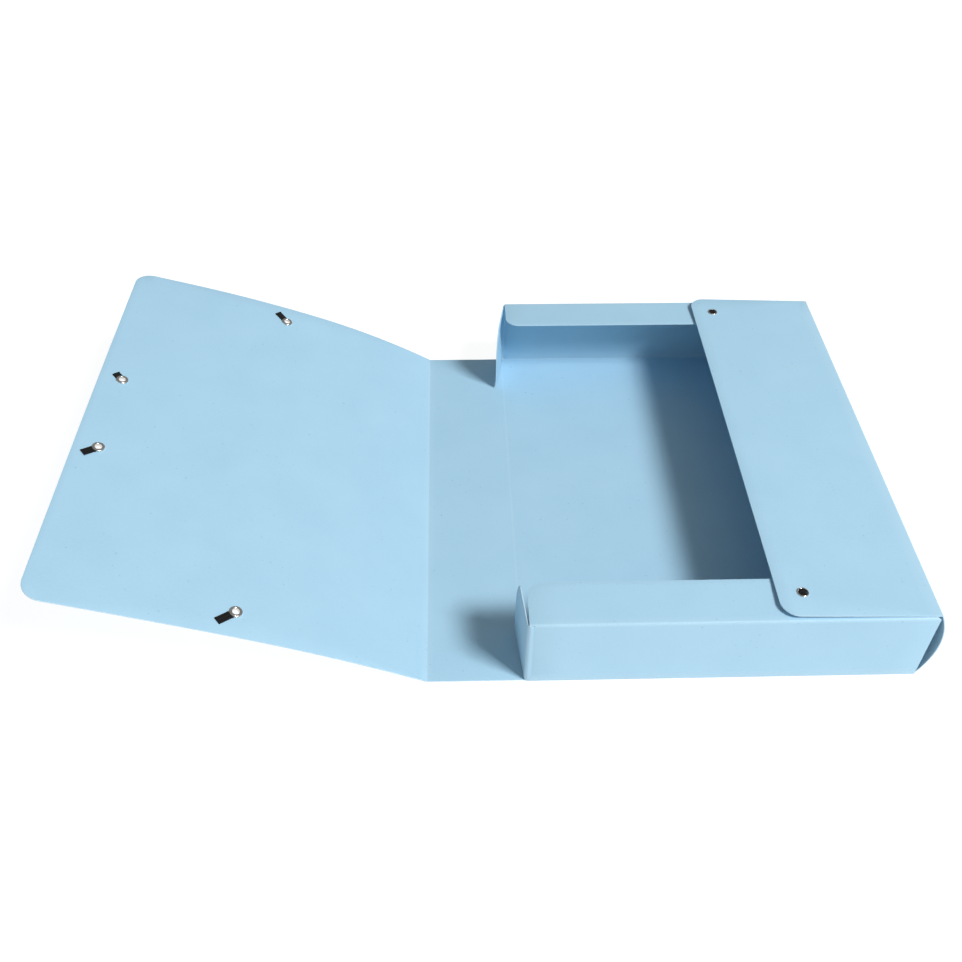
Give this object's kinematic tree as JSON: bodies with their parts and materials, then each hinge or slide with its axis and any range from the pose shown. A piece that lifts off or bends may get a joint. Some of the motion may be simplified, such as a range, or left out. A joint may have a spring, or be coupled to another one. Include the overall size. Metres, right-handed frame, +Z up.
{
  "type": "archival box",
  "caption": "Open A4 box file folded from blue pressboard, with a spine and cover, end walls, three top flaps, eyelets and elastic corner straps.",
  "frame": {"origin": "centre of the base panel's underside, on the surface the box rests on", "axes": "+X from the spine towards the fore edge, +Y from the tail end towards the head end, +Z up"},
  "size_m": [0.5491, 0.3316, 0.0902],
  "materials": {
    "pressboard": "smooth, slightly glossy",
    "eyelet_metal": "bright nickel",
    "elastic": "flat woven"
  },
  "bodies": {
    "base": {"base_panel": "pressboard"},
    "spine": {"spine_panel": "pressboard"},
    "cover": {"cover_panel": "pressboard", "cover_eyelet_head": "eyelet_metal", "cover_eyelet_tail": "eyelet_metal", "cover_eyelet_fore_upper": "eyelet_metal", "cover_eyelet_fore_lower": "eyelet_metal", "corner_strap_head": "elastic", "corner_strap_tail": "elastic"},
    "fore_wall": {"fore_edge_wall": "pressboard"},
    "fore_flap": {"fore_edge_flap": "pressboard", "flap_eyelet_head": "eyelet_metal", "flap_eyelet_tail": "eyelet_metal", "elastic_tie_head": "elastic", "elastic_tie_tail": "elastic"},
    "tail_end": {"tail_wall": "pressboard"},
    "tail_top": {"tail_flap": "pressboard", "end_flap_eyelet_tail": "eyelet_metal"},
    "tail_tab": {"tail_ear": "pressboard"},
    "head_end": {"head_wall": "pressboard"},
    "head_top": {"head_flap": "pressboard", "end_flap_eyelet_head": "eyelet_metal"},
    "head_tab": {"head_ear": "pressboard"}
  },
  "joints": [
    {"name": "spine_fold", "type": "hinge", "parent": "base", "child": "spine", "pos_m": [-0.125, 0, 0.0008], "axis": [0, 1, 0], "range_deg": [0, 90]},
    {"name": "cover_fold", "type": "hinge", "parent": "spine", "child": "cover", "pos_m": [-0.186, 0, 0.0008], "axis": [0, 1, 0], "range_deg": [-20, 67]},
    {"name": "fore_edge_wall_fold", "type": "hinge", "parent": "base", "child": "fore_wall", "pos_m": [0.125, 0, 0.0008], "axis": [0, 1, 0], "range_deg": [0, 64]},
    {"name": "fore_edge_flap_fold", "type": "hinge", "parent": "fore_wall", "child": "fore_flap", "pos_m": [0.125, 0, 0.0575], "axis": [0, 1, 0], "range_deg": [0, 110]},
    {"name": "tail_wall_fold", "type": "hinge", "parent": "base", "child": "tail_end", "pos_m": [0, -0.165, 0.0008], "axis": [1, 0, 0], "range_deg": [0, 90]},
    {"name": "head_wall_fold", "type": "hinge", "parent": "base", "child": "head_end", "pos_m": [0, 0.165, 0.0008], "axis": [-1, 0, 0], "range_deg": [0, 90]},
    {"name": "tail_flap_fold", "type": "hinge", "parent": "tail_end", "child": "tail_top", "pos_m": [0, -0.165, 0.0564], "axis": [1, 0, 0], "range_deg": [0, 110]},
    {"name": "head_flap_fold", "type": "hinge", "parent": "head_end", "child": "head_top", "pos_m": [0, 0.165, 0.0564], "axis": [-1, 0, 0], "range_deg": [0, 110]},
    {"name": "tail_ear_fold", "type": "hinge", "parent": "tail_end", "child": "tail_tab", "pos_m": [-0.1239, -0.165, 0.0288], "axis": [0, 0, -1], "range_deg": [0, 9]},
    {"name": "head_ear_fold", "type": "hinge", "parent": "head_end", "child": "head_tab", "pos_m": [-0.1239, 0.165, 0.0288], "axis": [0, 0, 1], "range_deg": [0, 13]}
  ],
  "couplings": [
    {"joint": "tail_wall_fold", "follows": "fore_edge_wall_fold", "ratio": 1.4062},
    {"joint": "head_wall_fold", "follows": "fore_edge_wall_fold", "ratio": 1.4062},
    {"joint": "tail_flap_fold", "follows": "fore_edge_flap_fold", "ratio": 1},
    {"joint": "head_flap_fold", "follows": "fore_edge_flap_fold", "ratio": 1},
    {"joint": "tail_ear_fold", "follows": "spine_fold", "ratio": 0.1},
    {"joint": "head_ear_fold", "follows": "spine_fold", "ratio": 0.14444}
  ]
}
